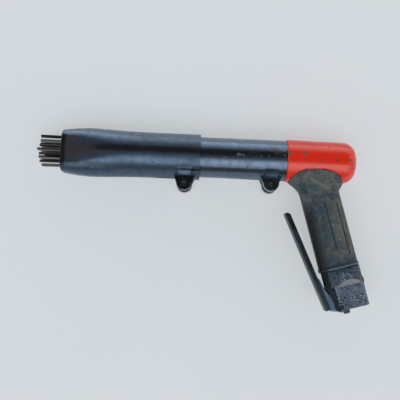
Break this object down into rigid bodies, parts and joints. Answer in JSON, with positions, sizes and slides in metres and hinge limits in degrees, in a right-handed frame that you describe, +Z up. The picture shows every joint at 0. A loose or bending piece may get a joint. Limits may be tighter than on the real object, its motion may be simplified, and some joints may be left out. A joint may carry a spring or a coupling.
{
  "type": "needle scaler",
  "caption": "Pistol grip pneumatic needle scaler: air driven piston and anvil strike a bundle of steel needles in a clamped front tube, with a sprung throttle lever on a sleeved handle.",
  "frame": {"origin": "on the surface the tool lies on, under the middle of its outline", "axes": "+X from the needles to the back of the head along the barrel, +Y from the grip up to the barrel, +Z up from the surface that the tool lies on, square to the plane of barrel and grip"},
  "size_m": [0.4202, 0.2181, 0.0573],
  "materials": {
    "blued_tube": "blued steel, scuffed, with rust spots",
    "black_screw": "black oxide, worn",
    "needle_steel": "dark drawn steel",
    "tool_steel": "ground, lightly oiled",
    "spring_steel": "drawn wire",
    "bronze": "machined",
    "seal_rubber": "smooth",
    "red_paint": "semi gloss red paint on a casting, chipped",
    "grey_casting": "dark paint on a casting, speckled with chips",
    "grip_rubber": "moulded, dusty",
    "lever_steel": "dark coated steel, worn edges",
    "plated_steel": "dull plated"
  },
  "bodies": {
    "frame": {"head": "red_paint", "handle": "grey_casting", "spigot_seal": "seal_rubber", "grip_sleeve": "grip_rubber", "rear_tube": "blued_tube", "rear_clamp_screw": "black_screw", "rear_clamp_nut": "black_screw", "cylinder": "tool_steel", "cylinder_seal": "seal_rubber", "anvil_bush": "bronze", "valve_front_plate": "tool_steel", "valve_rear_plate": "tool_steel", "return_spring": "spring_steel", "lever_pin": "plated_steel", "pin_lock_screw": "plated_steel", "throttle_seal": "seal_rubber", "throttle_spring": "spring_steel", "throttle_plug": "plated_steel", "inlet_strainer": "bronze"},
    "front_tube": {"front_tube": "blued_tube", "front_clamp_screw": "black_screw", "front_clamp_nut": "black_screw"},
    "piston": {"piston": "tool_steel"},
    "anvil": {"anvil": "tool_steel"},
    "needle_pack": {"needle_holder": "tool_steel", "needles": "needle_steel"},
    "valve_disc": {"valve_disc": "spring_steel"},
    "lever": {"lever": "lever_steel"},
    "throttle_valve": {"throttle_valve": "bronze"}
  },
  "joints": [
    {"name": "front_tube_slide", "type": "slide", "parent": "frame", "child": "front_tube", "axis": [1, 0, 0], "range_m": [-0.01, 0.02]},
    {"name": "piston_slide", "type": "slide", "parent": "frame", "child": "piston", "axis": [-1, 0, 0], "range_m": [0, 0.033]},
    {"name": "anvil_slide", "type": "slide", "parent": "frame", "child": "anvil", "axis": [-1, 0, 0], "range_m": [0, 0.005], "stiffness_N_per_m": 2500, "springref_m": -0.004, "deforming": ["return_spring"]},
    {"name": "needle_slide", "type": "slide", "parent": "anvil", "child": "needle_pack", "axis": [-1, 0, 0], "range_m": [0, 0.006], "stiffness_N_per_m": 2500, "springref_m": -0.004, "deforming": ["return_spring"]},
    {"name": "valve_disc_slide", "type": "slide", "parent": "frame", "child": "valve_disc", "axis": [1, 0, 0], "range_m": [0, 0.0015]},
    {"name": "lever_hinge", "type": "hinge", "parent": "frame", "child": "lever", "pos_m": [0.17409, -0.10086, 0.02865], "axis": [0, 0, -1], "range_deg": [0, 7], "stiffness_Nm_per_rad": 2, "springref_deg": -8.59},
    {"name": "throttle_slide", "type": "slide", "parent": "frame", "child": "throttle_valve", "axis": [0.9617, 0.274, 0], "range_m": [0, 0.0034], "deforming": ["throttle_spring"]}
  ],
  "couplings": [
    {"joint": "throttle_slide", "follows": "lever_hinge", "m_per_rad": 0.0273}
  ]
}
